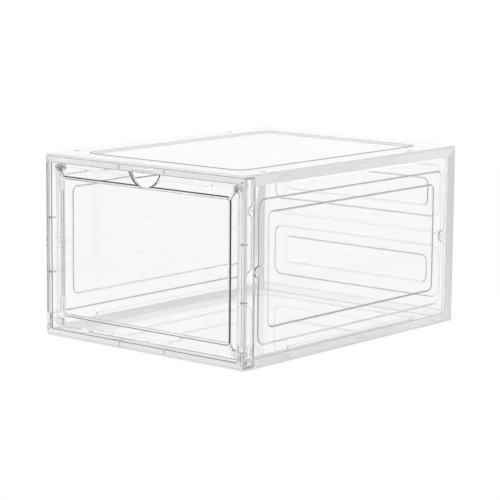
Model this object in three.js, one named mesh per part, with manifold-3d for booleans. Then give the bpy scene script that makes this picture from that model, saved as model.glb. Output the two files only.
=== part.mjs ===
// Clear, stackable, drop-front shoe box.
//
// Millimetres, +Z up. The origin is the centre of the base on the surface the box stands on,
// the door faces -Y, and +X is the right-hand side seen from the front.
// Every wall is drawn in its own frame: u across, v up, w out of the box, with w = 0 on the
// outer face. It is then turned and moved into place.

import * as THREE from 'three';
import { mergeVertices } from 'three/addons/utils/BufferGeometryUtils.js';
import Module from 'manifold-3d';

const wasm = await Module();
wasm.setup();

// Overall size and stock
const WIDTH = 265;
const DEPTH = 345;
const HEIGHT = 188;
const PLATE = 2;                          // thickness of the top and bottom plates
const WALL = 2;                           // wall thickness of every moulding
const GAP = 0.3;                          // clearance between pieces that touch
const SKIRT = 3.5;                        // overall thickness of the side and back walls
const STEP = 1;                           // height of the moulded steps on the walls
const ARC = 5;                            // segments in a moulded corner

const HALF_W = WIDTH / 2;
const HALF_D = DEPTH / 2;
const BODY_HALF = HEIGHT / 2 - PLATE - GAP;   // half height of the walls between the plates

// Walls
const RAIL = 10 - PLATE - GAP;            // height of the side and back walls' rails
const TOP_RAIL = RAIL + 1.2;              // height of the side walls' upper rails
const REAR_BAND = 13;                     // width of the side walls' rear band
const SIDE_LIP = 2;                       // width of the side walls' front border
const OUTER_INSET = 22;                   // outer rounded rectangle, from the outline
const OUTER_TOP_INSET = 24.6;
const INNER_INSET = 38.5;                 // inner rounded rectangle, from the outline
const OUTER_RADIUS = 9.5;
const INNER_RADIUS = 6;
const VENT_RADIUS = 2.4;
const VENT_RIM = 5;
const FLANGE_DEPTH = 12;                  // back wall's side flanges

// Racetracks on the back wall: inset from the outline, height range above or below its middle
const TRACK_OUTER = { inset: 19.5, span: [15.4, 71.6], radius: 9.5 };
const TRACK_INNER = { inset: 35.5, span: [27.5, 56], radius: 6 };
const CENTRE_RIB = 3;

// Top and bottom plates
const EDGE = 0.8;                         // broken edge round the plates
const RECESS_DEPTH = { top: 1.3, bottom: 2.2 };
const RECESS_INSET = { side: 28.5, front: 28, rear: 29 };
const RECESS_RADIUS = 13;
const TONGUE = 1.6;
const TONGUE_DROP = 9.5;                  // how far the tongues reach in past the plate
const TONGUE_EXTRA = 3;                   // how much further their middle part reaches
const TONGUE_MIDDLE = [-102, 110];        // the middle part's ends, front to rear
const HOOK_AT = [-110.4, 12.9, 136.3];    // snap hooks, front to rear
const HOOK = { length: 13.4, height: 2.4, out: 1.8, drop: 4.5 };
const BUMP = { radius: 3.5, height: 0.8 };
const BUMP_INSET = { side: 9, front: 37, rear: 71 };
const FRONT_TAB = { half: 14, height: 6, thickness: 1.6, behind: 10.5 };

// Front frame
const FRAME_DEPTH = 15;
const BAR = 8.5;                          // posts, on the front
const OPENING_BOTTOM = 8;                 // height of the bottom bar's upper edge
const OPENING_TOP = HEIGHT - 8.8;         // height of the top bar's lower edge
const CHANNEL_WALL = 1.6;
const LIP = 4.5;                          // stop lip behind the door
const LIP_EXTRA = 2.5;                    // how much further its middle parts reach
const LIP_SIDE_MIDDLE = [-53.6, 56.4];    // ends of the side lips' middle parts
const LIP_TOP_MIDDLE = 85;                // half width of the top lip's middle part
const NOTCH_CLEAR = 22;                   // half width of the break in the top lip
const RIB_AT = { across: 30, up: 28 };    // ribs inside the frame's channel
const RIB = 1;

// Door
const DOOR_SIDE_GAP = 0.5;
const DOOR_BOTTOM = 11.8;
const DOOR_TOP = OPENING_TOP - 0.5;
const DOOR_FACE = -2.7;                   // front of the door's field
const RIM_FRONT = -6.3;
const RIM_BACK = RIM_FRONT - WALL;
const FIELD_INSET = 21;                   // sides of the door's field, from the outline
const FIELD_HALF_HEIGHT = 71.2;
const FIELD_RADIUS = 4;
const SLOPE_WIDTH = 10;
const SLOPE_RISE = 2;
const NOTCH_RADIUS = 20.6;
const NOTCH_HEIGHT = 185.3;               // height of the thumb notch's centre
const NOTCH_LIP = 1.8;

// Hinge
const HINGE_HEIGHT = 15.5;
const HINGE_W = -7.3;
const BARREL = { radius: 3.5, length: 10 };
const PEG = { radius: 2, length: 4 };
const SOCKET = { radius: 2.4, depth: 4.4 };
const HINGE_BLOCK_TOP = 23;

// Magnets
const MAGNET_INSET = 13.9;
const MAGNET_RADIUS = 3.5;
const MAGNET_WALL = 1.2;
const DOOR_MAGNET = 2.2;
const FRAME_MAGNET = 3;

const FAR = 400;

// ---- geometry helpers ----------------------------------------------------

function toSolid(geometry) {
  geometry.deleteAttribute('normal');
  geometry.deleteAttribute('uv');
  const merged = mergeVertices(geometry, 1e-4);
  return new wasm.Manifold(new wasm.Mesh({
    numProp: 3,
    vertProperties: new Float32Array(merged.attributes.position.array),
    triVerts: new Uint32Array(merged.index.array),
  }));
}

function toGeometry(solid) {
  const mesh = solid.getMesh();
  const geometry = new THREE.BufferGeometry();
  geometry.setAttribute('position', new THREE.BufferAttribute(mesh.vertProperties, 3));
  geometry.setIndex(new THREE.BufferAttribute(mesh.triVerts, 1));
  geometry.computeVertexNormals();
  return geometry;
}

// A box between two values on each axis, given in either order.
function block([u0, u1], [v0, v1], [w0, w1]) {
  const geometry = new THREE.BoxGeometry(Math.abs(u1 - u0), Math.abs(v1 - v0), Math.abs(w1 - w0));
  geometry.translate((u0 + u1) / 2, (v0 + v1) / 2, (w0 + w1) / 2);
  return toSolid(geometry);
}

// A round bar along w.
function pillar(radius, u, v, [w0, w1], sides = 24) {
  const geometry = new THREE.CylinderGeometry(radius, radius, w1 - w0, sides);
  geometry.rotateX(Math.PI / 2);
  geometry.translate(u, v, (w0 + w1) / 2);
  return toSolid(geometry);
}

// A round bar along u.
function axle(radius, [u0, u1], v, w, sides = 20) {
  const geometry = new THREE.CylinderGeometry(radius, radius, Math.abs(u1 - u0), sides);
  geometry.rotateZ(Math.PI / 2);
  geometry.translate((u0 + u1) / 2, v, w);
  return toSolid(geometry);
}

function roundedRectangle([u0, u1], [v0, v1], radius) {
  const shape = new THREE.Shape();
  shape.moveTo(u0 + radius, v0);
  shape.lineTo(u1 - radius, v0);
  shape.absarc(u1 - radius, v0 + radius, radius, -Math.PI / 2, 0);
  shape.lineTo(u1, v1 - radius);
  shape.absarc(u1 - radius, v1 - radius, radius, 0, Math.PI / 2);
  shape.lineTo(u0 + radius, v1);
  shape.absarc(u0 + radius, v1 - radius, radius, Math.PI / 2, Math.PI);
  shape.lineTo(u0, v0 + radius);
  shape.absarc(u0 + radius, v0 + radius, radius, Math.PI, 1.5 * Math.PI);
  return shape;
}

// A slab with rounded corners between two values of w.
function slab(us, vs, radius, [w0, w1]) {
  const geometry = new THREE.ExtrudeGeometry(roundedRectangle(us, vs, radius), {
    depth: w1 - w0,
    bevelEnabled: false,
    curveSegments: ARC,
  });
  geometry.translate(0, 0, w0);
  return toSolid(geometry);
}

// The same with both its edges sloped: the end faces have the given outline, and the middle
// stands wider than them by spread.
function lozenge(us, vs, radius, [w0, w1], spread, rise) {
  const geometry = new THREE.ExtrudeGeometry(roundedRectangle(us, vs, radius), {
    depth: w1 - w0 - 2 * rise,
    bevelEnabled: true,
    bevelThickness: rise,
    bevelSize: spread,
    bevelSegments: 1,
    curveSegments: ARC,
  });
  geometry.translate(0, 0, w0 + rise);
  return toSolid(geometry);
}

// A slab with a rounded hole in it: the region between two rounded rectangles.
function frameSlab(outer, inner, [w0, w1]) {
  const body = slab(outer.u, outer.v, outer.r, [w0, w1]);
  return body.subtract(slab(inner.u, inner.v, inner.r, [w0 - 1, w1 + 1]));
}

function shrink(outline, by) {
  return {
    u: [outline.u[0] + by, outline.u[1] - by],
    v: [outline.v[0] + by, outline.v[1] - by],
    r: Math.max(outline.r - by, 0.5),
  };
}

// Steps the wall outwards between two outlines, keeping it one wall thick.
function stepOut(body, outer, inner, outerFace) {
  const raised = frameSlab(outer, inner, [outerFace - 0.5, outerFace + STEP]);
  const hollowOuter = shrink(outer, STEP);
  const hollowInner = shrink(inner, -STEP);
  const back = outerFace - WALL;
  const hollow = frameSlab(hollowOuter, hollowInner, [back - 1, back + STEP]);
  return body.add(raised).subtract(hollow);
}

// ---- the pieces ----------------------------------------------------------

// A plate for the top or the bottom. front is the sign of v at the door, and bumps stand out
// of the top plate where sockets sink into the bottom one.
function endPlate(front, hasBumps) {
  const side = RECESS_INSET.side;
  const recessU = [-HALF_W + side, HALF_W - side];
  const recessV = [front * (HALF_D - RECESS_INSET.front), -front * (HALF_D - RECESS_INSET.rear)];
  recessV.sort((a, b) => a - b);
  const plateU = [-HALF_W + EDGE, HALF_W - EDGE];
  const plateV = [-HALF_D + EDGE, HALF_D - EDGE];
  const depth = hasBumps ? RECESS_DEPTH.top : RECESS_DEPTH.bottom;
  const floor = -depth;
  const under = shrink({ u: recessU, v: recessV, r: RECESS_RADIUS }, -WALL);

  let body = lozenge(plateU, plateV, 1.5, [-PLATE, 0], EDGE, EDGE);
  body = body.add(slab(under.u, under.v, under.r, [floor - WALL, -PLATE / 2]));
  body = body.subtract(lozenge(recessU, recessV, RECESS_RADIUS, [floor, 4 * PLATE], 1.5, depth));

  // Tongues that drop inside the side walls, with hooks that snap into their windows
  const tongueFace = HALF_W - SKIRT - GAP;
  const root = -PLATE / 2;
  const tip = -PLATE - TONGUE_DROP;
  const sideEnd = HALF_D - SKIRT - FLANGE_DEPTH - 1;
  for (const sign of [-1, 1]) {
    const across = [sign * tongueFace, sign * (tongueFace - TONGUE)];
    body = body.add(block(across, [-sideEnd, sideEnd], [tip, root]));
    const middle = TONGUE_MIDDLE.map((y) => -front * y);
    body = body.add(block(across, middle, [tip - TONGUE_EXTRA, root]));
    for (const y of HOOK_AT) {
      const along = [-front * y - HOOK.length / 2, -front * y + HOOK.length / 2];
      const out = [sign * (tongueFace - 0.5), sign * (tongueFace + HOOK.out)];
      const low = -PLATE - GAP - HOOK.drop;
      body = body.add(block(out, along, [low, low + HOOK.height]));
    }
  }

  // Tongue inside the back wall, and the tab that drops through the front frame
  const rearFace = HALF_D - SKIRT - GAP;
  const rear = [-front * rearFace, -front * (rearFace - TONGUE)];
  const rearHalf = HALF_W - SKIRT - 2 * GAP - 2 * TONGUE;
  body = body.add(block([-rearHalf, rearHalf], rear, [tip, root]));
  const tabFace = HALF_D - FRONT_TAB.behind;
  const tab = [front * tabFace, front * (tabFace - FRONT_TAB.thickness)];
  body = body.add(block([-FRONT_TAB.half, FRONT_TAB.half], tab, [-PLATE - FRONT_TAB.height, root]));

  // Stacking bumps, or the sockets that take them
  for (const u of [-1, 1].map((sign) => sign * (HALF_W - BUMP_INSET.side))) {
    for (const v of [front * (HALF_D - BUMP_INSET.front), -front * (HALF_D - BUMP_INSET.rear)]) {
      if (hasBumps) {
        body = body.add(pillar(BUMP.radius, u, v, [root, BUMP.height]));
      } else {
        body = body.subtract(pillar(BUMP.radius + GAP, u, v, [-BUMP.height - GAP, 1]));
      }
    }
  }
  return body;
}

// A side wall. rear is the sign of u at the back of the box.
function sideWall(rear) {
  const span = (y0, y1) => [rear * y0, rear * y1].sort((a, b) => a - b);
  const frontEdge = -HALF_D + FRAME_DEPTH + GAP;
  const field = -(SKIRT - WALL);
  const half = HEIGHT / 2;
  const outer = {
    u: span(-HALF_D + OUTER_INSET, HALF_D - OUTER_INSET),
    v: [-half + OUTER_INSET, half - OUTER_TOP_INSET],
    r: OUTER_RADIUS,
  };
  const inner = {
    u: span(-HALF_D + INNER_INSET, HALF_D - INNER_INSET),
    v: [-half + INNER_INSET, half - INNER_INSET],
    r: INNER_RADIUS,
  };

  let body = slab(span(frontEdge, HALF_D), [-BODY_HALF, BODY_HALF], 1, [-SKIRT, 0]);
  const fieldU = span(frontEdge + SIDE_LIP, HALF_D - REAR_BAND);
  const fieldV = [-BODY_HALF + RAIL, BODY_HALF - TOP_RAIL];
  body = body.subtract(lozenge(fieldU, fieldV, 1, [field, 8], 0.6, -field));
  body = stepOut(body, outer, inner, field);

  // Vents at mid height on the front and rear of the outer rectangle
  for (const u of outer.u) {
    body = body.add(pillar(VENT_RIM, u, 0, [-SKIRT, -0.2]));
    body = body.subtract(pillar(VENT_RADIUS, u, 0, [-SKIRT - 1, 1]));
  }

  // Windows for the plates' snap hooks
  const windowV = BODY_HALF - HOOK.drop + HOOK.height / 2;
  const windowHalf = [HOOK.length / 2 + GAP, HOOK.height / 2 + GAP];
  for (const sign of [-1, 1]) {
    for (const y of HOOK_AT) {
      const along = span(y - windowHalf[0], y + windowHalf[0]);
      const up = [sign * windowV - windowHalf[1], sign * windowV + windowHalf[1]];
      body = body.subtract(block(along, up, [-SKIRT - 1, 1]));
    }
  }
  return body;
}

function backWall() {
  const halfU = HALF_W - SKIRT - GAP;
  const field = -(SKIRT - WALL);
  let body = slab([-halfU, halfU], [-BODY_HALF, BODY_HALF], 1, [-SKIRT, 0]);
  const fieldHalf = halfU - RAIL;
  const fieldV = [-BODY_HALF + RAIL, BODY_HALF - RAIL];
  body = body.subtract(lozenge([-fieldHalf, fieldHalf], fieldV, 1, [field, 8], 0.6, -field));
  for (const sign of [-1, 1]) {
    const outline = ({ inset, span, radius }) => ({
      u: [-HALF_W + inset, HALF_W - inset],
      v: span.map((v) => sign * v).sort((a, b) => a - b),
      r: radius,
    });
    body = stepOut(body, outline(TRACK_OUTER), outline(TRACK_INNER), field);

    // Flanges that lie inside the side walls' rear bands
    const flange = [sign * halfU, sign * (halfU - TONGUE)];
    body = body.add(block(flange, [-BODY_HALF, BODY_HALF], [-SKIRT - FLANGE_DEPTH, -SKIRT / 2]));
  }
  const ribHalf = HALF_W - TRACK_OUTER.inset;
  const rib = CENTRE_RIB / 2;
  return body.add(block([-ribHalf, ribHalf], [-rib, rib], [field - 0.5, field + STEP]));
}

const OPENING = {
  u: [-HALF_W + BAR, HALF_W - BAR],
  v: [OPENING_BOTTOM - HEIGHT / 2, OPENING_TOP - HEIGHT / 2],
};
const HINGE_V = HINGE_HEIGHT - HEIGHT / 2;
const MAGNET_U = HALF_W - MAGNET_INSET;
const MAGNET_V = HEIGHT / 2 - MAGNET_INSET;
const LIP_FRONT = RIM_BACK - GAP;
const LIP_BACK = LIP_FRONT - CHANNEL_WALL;
const BOSS_RADIUS = MAGNET_RADIUS + GAP + MAGNET_WALL;

// The channel that runs round the door, without the lip and blocks
function frameChannel() {
  const skin = WALL;
  const sleeve = CHANNEL_WALL;
  const insideU = [-HALF_W + skin, HALF_W - skin];
  const insideV = [-BODY_HALF + skin, BODY_HALF - skin];
  const hollow = block(insideU, insideV, [-FRAME_DEPTH - 1, -skin]);
  const opening = block(OPENING.u, OPENING.v, [-FRAME_DEPTH - 1, 1]);
  const sleeveU = [OPENING.u[0] - sleeve, OPENING.u[1] + sleeve];
  const sleeveV = [OPENING.v[0] - sleeve, OPENING.v[1] + sleeve];
  const wall = block(sleeveU, sleeveV, [LIP_BACK, -skin / 2]);
  const shell = slab([-HALF_W, HALF_W], [-BODY_HALF, BODY_HALF], 1.5, [-FRAME_DEPTH, 0]);
  let body = shell.subtract(hollow).add(wall).subtract(opening);

  // Ribs across the channel
  const depth = [-skin - 4.5, -skin / 2];
  for (const sign of [-1, 1]) {
    const post = [sign * (HALF_W - BAR + 1), sign * (HALF_W - skin / 2)];
    for (const v of [-RIB_AT.up, RIB_AT.up]) {
      body = body.add(block(post, [v - RIB / 2, v + RIB / 2], depth));
    }
  }
  for (const [edge, bar] of [[OPENING.v[0] - 1, -BODY_HALF + 1], [OPENING.v[1] + 1, BODY_HALF - 1]]) {
    for (const u of [-RIB_AT.across, RIB_AT.across]) {
      body = body.add(block([u - RIB / 2, u + RIB / 2], [edge, bar], depth));
    }
  }
  return body;
}

// The lip that the door closes against: it clears the hinges and the thumb notch.
function stopLip() {
  const [left, right] = OPENING.u;
  const top = OPENING.v[1];
  const low = HINGE_BLOCK_TOP + 1 - HEIGHT / 2;
  const depth = [LIP_BACK, LIP_FRONT];
  let lip = block([left - 1, right + 1], [low, top + 1], depth);
  lip = lip.subtract(block([left + LIP, right - LIP], [low - 1, top - LIP], [-FAR, 1]));
  const reach = LIP + LIP_EXTRA;
  for (const sign of [-1, 1]) {
    const inward = [sign * (right + 1), sign * (right - reach)];
    lip = lip.add(block(inward, LIP_SIDE_MIDDLE, depth));
  }
  lip = lip.add(block([-LIP_TOP_MIDDLE, LIP_TOP_MIDDLE], [top - reach, top + 1], depth));
  return lip.subtract(block([-NOTCH_CLEAR, NOTCH_CLEAR], [top - 20, top], [-FAR, 1]));
}

function frontFrame() {
  let body = frameChannel().add(stopLip());
  const top = OPENING.v[1];
  const bossBack = LIP_FRONT - MAGNET_WALL - GAP - FRAME_MAGNET - 1;
  for (const sign of [-1, 1]) {
    // Hinge block with a blind socket for the door's peg
    const blockU = [sign * OPENING.u[1], sign * (HALF_W - WALL / 2)];
    const blockV = [OPENING.v[0] - 1, HINGE_BLOCK_TOP - HEIGHT / 2];
    body = body.add(block(blockU, blockV, [-FRAME_DEPTH + 1.5, -WALL / 2]));
    const bore = [sign * (OPENING.u[1] - 1), sign * (OPENING.u[1] + SOCKET.depth)];
    body = body.subtract(axle(SOCKET.radius, bore, HINGE_V, HINGE_W));

    // Magnet boss, open at the back
    const gusset = [sign * MAGNET_U, sign * (OPENING.u[1] + 1)];
    body = body.add(block(gusset, [MAGNET_V, top + 1], [bossBack, LIP_FRONT]));
    body = body.add(pillar(BOSS_RADIUS, sign * MAGNET_U, MAGNET_V, [bossBack, LIP_FRONT]));
    const pocket = [bossBack - 1, LIP_FRONT - MAGNET_WALL];
    body = body.subtract(pillar(MAGNET_RADIUS + GAP, sign * MAGNET_U, MAGNET_V, pocket));

    // Window for the plate's front tab
    const tab = -FRONT_TAB.behind;
    const half = FRONT_TAB.half + GAP;
    const windowW = [tab - FRONT_TAB.thickness - GAP, tab + GAP];
    body = body.subtract(block([-half, half], [sign * (BODY_HALF + 1), sign * (BODY_HALF - 3)], windowW));
  }
  return body;
}

function frontDoor() {
  const half = HALF_W - BAR - DOOR_SIDE_GAP;
  const vs = [DOOR_BOTTOM - HEIGHT / 2, DOOR_TOP - HEIGHT / 2];
  const fieldHalf = HALF_W - FIELD_INSET;
  const field = {
    u: [-fieldHalf, fieldHalf],
    v: [-FIELD_HALF_HEIGHT, FIELD_HALF_HEIGHT],
    r: FIELD_RADIUS,
  };
  const slopeTop = RIM_FRONT + SLOPE_RISE;
  const bossFront = RIM_BACK + GAP + DOOR_MAGNET + MAGNET_WALL;
  const notchV = NOTCH_HEIGHT - HEIGHT / 2;
  const notchSides = 72;

  let body = slab([-half, half], vs, 1.5, [RIM_BACK, RIM_FRONT]);
  const slopes = [RIM_FRONT - SLOPE_RISE - 0.2, slopeTop];
  body = body.add(lozenge(field.u, field.v, field.r, slopes, SLOPE_WIDTH, SLOPE_RISE));
  body = body.add(slab(field.u, field.v, field.r, [RIM_FRONT, DOOR_FACE]));
  body = body.subtract(block([-FAR, FAR], [-FAR, FAR], [-FAR, RIM_BACK]));

  // Hollow behind the slopes and the field, one wall thick
  const inside = shrink(field, 0.8);
  const back = [RIM_BACK - 3 * SLOPE_RISE, slopeTop - WALL];
  body = body.subtract(lozenge(inside.u, inside.v, inside.r, back, SLOPE_WIDTH, SLOPE_RISE));
  const pocket = shrink(field, WALL);
  body = body.subtract(slab(pocket.u, pocket.v, pocket.r, [RIM_BACK - 1, DOOR_FACE - WALL]));

  // Thumb notch with its turned edge
  const edge = pillar(NOTCH_RADIUS + NOTCH_LIP, 0, notchV, [RIM_BACK, slopeTop], notchSides);
  body = body.add(edge.intersect(block([-half, half], vs, [RIM_BACK, slopeTop])));
  body = body.subtract(pillar(NOTCH_RADIUS, 0, notchV, [-FAR, 1], notchSides));

  for (const sign of [-1, 1]) {
    // Hinge barrel and peg
    const barrel = [sign * (half - BARREL.length), sign * half];
    body = body.add(axle(BARREL.radius, barrel, HINGE_V, HINGE_W));
    const peg = [sign * (half - 1), sign * (half + PEG.length)];
    body = body.add(axle(PEG.radius, peg, HINGE_V, HINGE_W));

    // Magnet boss, open at the back
    body = body.add(pillar(BOSS_RADIUS, sign * MAGNET_U, MAGNET_V, [RIM_BACK, bossFront]));
    const cup = [RIM_BACK - 1, bossFront - MAGNET_WALL];
    body = body.subtract(pillar(MAGNET_RADIUS + GAP, sign * MAGNET_U, MAGNET_V, cup));
  }
  return body;
}

function magnet(sign, faceW, thickness) {
  return pillar(MAGNET_RADIUS, sign * MAGNET_U, MAGNET_V, [faceW - thickness, faceW]);
}

// ---- assembly ------------------------------------------------------------

const clearPlastic = { color: 0xe9edef, roughness: 0.12, metalness: 0, transparent: true, opacity: 0.4 };
const nickel = { color: 0x8a8c8f, roughness: 0.3, metalness: 1 };

const X = new THREE.Vector3(1, 0, 0);
const Y = new THREE.Vector3(0, 1, 0);
const Z = new THREE.Vector3(0, 0, 1);

// Where each wall's frame stands: its origin, and its u, v and w directions.
const PLACES = {
  top: [new THREE.Vector3(0, 0, HEIGHT), X, Y, Z],
  bottom: [new THREE.Vector3(0, 0, 0), X, Y.clone().negate(), Z.clone().negate()],
  right: [new THREE.Vector3(HALF_W, 0, HEIGHT / 2), Y, Z, X],
  left: [new THREE.Vector3(-HALF_W, 0, HEIGHT / 2), Y.clone().negate(), Z, X.clone().negate()],
  back: [new THREE.Vector3(0, HALF_D, HEIGHT / 2), X.clone().negate(), Z, Y],
  front: [new THREE.Vector3(0, -HALF_D, HEIGHT / 2), X, Z, Y.clone().negate()],
};

function place(name, solid, where, finish) {
  const mesh = new THREE.Mesh(toGeometry(solid), new THREE.MeshStandardMaterial(finish));
  const [origin, u, v, w] = PLACES[where];
  mesh.name = name;
  mesh.position.copy(origin);
  mesh.setRotationFromMatrix(new THREE.Matrix4().makeBasis(u, v, w));
  return mesh;
}

const shoeBox = new THREE.Group();
shoeBox.add(place('top_panel', endPlate(-1, true), 'top', clearPlastic));
shoeBox.add(place('bottom_panel', endPlate(1, false), 'bottom', clearPlastic));
shoeBox.add(place('right_side_panel', sideWall(1), 'right', clearPlastic));
shoeBox.add(place('left_side_panel', sideWall(-1), 'left', clearPlastic));
shoeBox.add(place('back_panel', backWall(), 'back', clearPlastic));
shoeBox.add(place('front_frame', frontFrame(), 'front', clearPlastic));
shoeBox.add(place('front_door', frontDoor(), 'front', clearPlastic));
for (const [side, sign] of [['left', -1], ['right', 1]]) {
  const doorFace = RIM_BACK + GAP + DOOR_MAGNET - GAP;
  const frameFace = LIP_FRONT - MAGNET_WALL - GAP;
  shoeBox.add(place(`door_magnet_${side}`, magnet(sign, doorFace, DOOR_MAGNET), 'front', nickel));
  shoeBox.add(place(`frame_magnet_${side}`, magnet(sign, frameFace, FRAME_MAGNET), 'front', nickel));
}

export default shoeBox;
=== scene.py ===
"""A clear, stackable, drop-front shoe box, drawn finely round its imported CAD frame.

Lengths are in millimetres up to the point where a vertex is made, which is in metres.
Every moulding is drawn in its wall's own frame: u across, v up, w out of the box, with w = 0
on the outer face.
"""

import math

import bmesh
import bpy
from mathutils import Matrix, Vector


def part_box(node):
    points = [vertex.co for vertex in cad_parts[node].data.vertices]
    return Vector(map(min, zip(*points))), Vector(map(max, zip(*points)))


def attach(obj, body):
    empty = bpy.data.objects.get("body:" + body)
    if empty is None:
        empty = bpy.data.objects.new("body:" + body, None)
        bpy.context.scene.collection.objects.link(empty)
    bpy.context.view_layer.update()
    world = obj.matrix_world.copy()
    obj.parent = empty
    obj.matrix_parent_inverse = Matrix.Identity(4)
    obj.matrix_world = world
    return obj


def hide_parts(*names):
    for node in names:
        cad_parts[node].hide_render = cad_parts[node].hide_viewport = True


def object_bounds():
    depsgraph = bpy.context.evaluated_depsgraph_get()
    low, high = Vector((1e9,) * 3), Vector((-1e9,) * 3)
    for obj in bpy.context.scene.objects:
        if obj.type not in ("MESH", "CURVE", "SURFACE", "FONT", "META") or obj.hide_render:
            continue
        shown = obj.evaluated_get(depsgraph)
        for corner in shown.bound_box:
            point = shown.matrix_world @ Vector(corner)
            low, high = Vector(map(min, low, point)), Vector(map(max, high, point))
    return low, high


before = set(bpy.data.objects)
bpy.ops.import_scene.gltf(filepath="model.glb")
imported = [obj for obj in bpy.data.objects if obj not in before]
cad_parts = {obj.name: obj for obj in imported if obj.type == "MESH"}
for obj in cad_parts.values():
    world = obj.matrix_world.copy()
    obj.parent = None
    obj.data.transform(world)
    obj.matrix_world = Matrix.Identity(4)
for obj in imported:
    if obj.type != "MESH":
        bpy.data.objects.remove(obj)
cad_low, cad_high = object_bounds()

MM = 0.001
WIDTH = (cad_high.x - cad_low.x) / MM
DEPTH = (cad_high.y - cad_low.y) / MM
frame_low, frame_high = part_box("front_frame")
HEIGHT = (frame_low.z + frame_high.z) / MM      # the stacking bumps stand above this

# Stock and clearances
PLATE = 2.0
WALL = 2.0
GAP = 0.3
SKIRT = 3.5
STEP = 1.0
HALF_W = WIDTH / 2
HALF_D = DEPTH / 2
HALF_H = HEIGHT / 2
BODY_HALF = HALF_H - PLATE - GAP
FIELD = WALL - SKIRT                            # outer face of a wall's field

# Walls
RAIL = 10 - PLATE - GAP
TOP_RAIL = RAIL + 1.2                           # the upper rail is the deeper one
REAR_ROUND = 2.8
REAR_BAND = 13
SIDE_LIP = 2
FRAME_DEPTH = 15
OUTER_INSET, OUTER_TOP_INSET, OUTER_RADIUS = 22, 24.6, 9.5
INNER_INSET, INNER_RADIUS = 38.5, 6
VENT_RADIUS, VENT_RIM = 2.4, 5.8
FIELD_CORNER, FIELD_DRAFT = 1.5, 0.5
STEP_EASE = 0.6                                 # half the width of a step
MITRE_LINE = 0.9                                # width of the line across a rear corner
FLANGE_DEPTH = 12
TRACK_OUTER = (19.5, (15.4, 71.6), 9.5)         # inset, height range, corner radius
TRACK_INNER = (35.5, (27.5, 56.0), 6.0)
CENTRE_RIB = 3

# Plates
RECESS_DEPTH = {"top": 1.3, "bottom": 2.2}
RECESS_EASE = 0.9                               # half the width of the step round a recess
BEAD_FOOT, BEAD_TOP, BEAD_FLOOR = 0.4, (0.2, -0.8), -2.2    # outwards from the recess's outline
BEAD_HEIGHT = 0.35
PLATE_CORNER, PLATE_ROUND, PLATE_UNDER_ROUND = 2.2, 1.3, 0.4
RECESS_SIDE, RECESS_FRONT, RECESS_REAR, RECESS_RADIUS = 28.5, 28, 29, 13
TONGUE, TONGUE_DROP, TONGUE_EXTRA = 1.6, 9.5, 3
TONGUE_MIDDLE = (-102, 110)
HOOK_AT = (-110.4, 12.9, 136.3)
HOOK_LENGTH, HOOK_HEIGHT, HOOK_OUT, HOOK_DROP, HOOK_ROOT = 13.4, 2.4, 1.8, 4.5, 0.5
BUMP_RADIUS, BUMP_HEIGHT = 3.5, 0.8
BUMP_SIDE, BUMP_FRONT, BUMP_REAR = 9, 37, 71
TAB_HALF, TAB_HEIGHT, TAB_THICKNESS, TAB_BEHIND = 14, 6, 1.6, 10.5

# Front frame and door
BAR = 8.5
OPENING_U = (-HALF_W + BAR, HALF_W - BAR)
OPENING_V = (8 - HALF_H, HALF_H - 8.8)
SLEEVE = 1.6
POST_SHADE = 5                                  # how deep the posts' inner faces take the frosted coat, painted shade for the stripes seen through the posts
LIP, LIP_EXTRA = 4.5, 2.5
LIP_SIDE_MIDDLE = (-53.6, 56.4)
LIP_TOP_MIDDLE = 85
NOTCH_CLEAR = 22
RIB_ACROSS, RIB_UP, RIB, RIB_DEPTH = 30, 28, 1, 4.5
SCORE, SCORE_DEPTH = 0.8, 0.4                   # lines scored across the bars over those ribs
LABEL_U, LABEL_V, LABEL_DEPTH = (-12, 14), (HALF_H - 7.6, HALF_H - 3.4), 0.25    # by the tabs
ROOT = 1                                        # how far a part runs into the wall that carries it
LIP_ROOT, GUSSET_ROOT = 0.7, 0.4                # shorter, so that no two parts end in one plane
DOOR_HALF = HALF_W - BAR - 0.5
DOOR_V = (11.8 - HALF_H, OPENING_V[1] - 0.5)
DOOR_FACE = -2.7
RIM_FRONT = -6.3
RIM_BACK = RIM_FRONT - WALL
LIP_FRONT = RIM_BACK - GAP
LIP_BACK = LIP_FRONT - SLEEVE
FIELD_INSET, FIELD_HALF_HEIGHT, FIELD_RADIUS = 21, 71.2, 4
SLOPE_WIDTH, SLOPE_RISE = 10, 2
GROOVE_WIDTH, GROOVE_DEPTH = 0.9, 0.3
NOTCH_RADIUS, NOTCH_V, NOTCH_LIP, NOTCH_STEP = 20.6, 185.3 - HALF_H, 1.8, 0.3
MITRE_RIB, MITRE_W = 2.6, (RIM_BACK + 0.8, -3.3)

# Hinge and magnets
HINGE_V, HINGE_W = 15.5 - HALF_H, -7.3
BARREL_RADIUS, BARREL_LENGTH = 3.5, 10
PEG_RADIUS, PEG_LENGTH = 2, 4
SOCKET_RADIUS, SOCKET_DEPTH = 2.4, 4.4
HINGE_BLOCK_TOP = 23 - HALF_H
MAGNET_U, MAGNET_V = HALF_W - 13.9, HALF_H - 13.9
MAGNET_RADIUS, MAGNET_WALL = 3.5, 1.2
DOOR_MAGNET, FRAME_MAGNET = 2.2, 3.0
BOSS_RADIUS = MAGNET_RADIUS + GAP + MAGNET_WALL

CORNER = 10                                     # segments in a moulded corner
FAR = 300                                       # past every piece
X, Y, Z = Vector((1, 0, 0)), Vector((0, 1, 0)), Vector((0, 0, 1))


# ---- drawing in a wall's own frame --------------------------------------------------


class Wall:
    """A frame to draw in: an origin in millimetres and the directions of u, v and w."""

    def __init__(self, origin, u, v, w):
        self.origin, self.u, self.v, self.w = Vector(origin), u, v, w

    def point(self, u, v, w):
        return (self.origin + self.u * u + self.v * v + self.w * w) * MM

    def local(self, point):
        offset = point / MM - self.origin
        return offset.dot(self.u), offset.dot(self.v), offset.dot(self.w)

    def along_u(self):
        """The same place with w turned along u, for drawing axles."""
        return Wall(self.origin, self.v, self.w, self.u)


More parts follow.
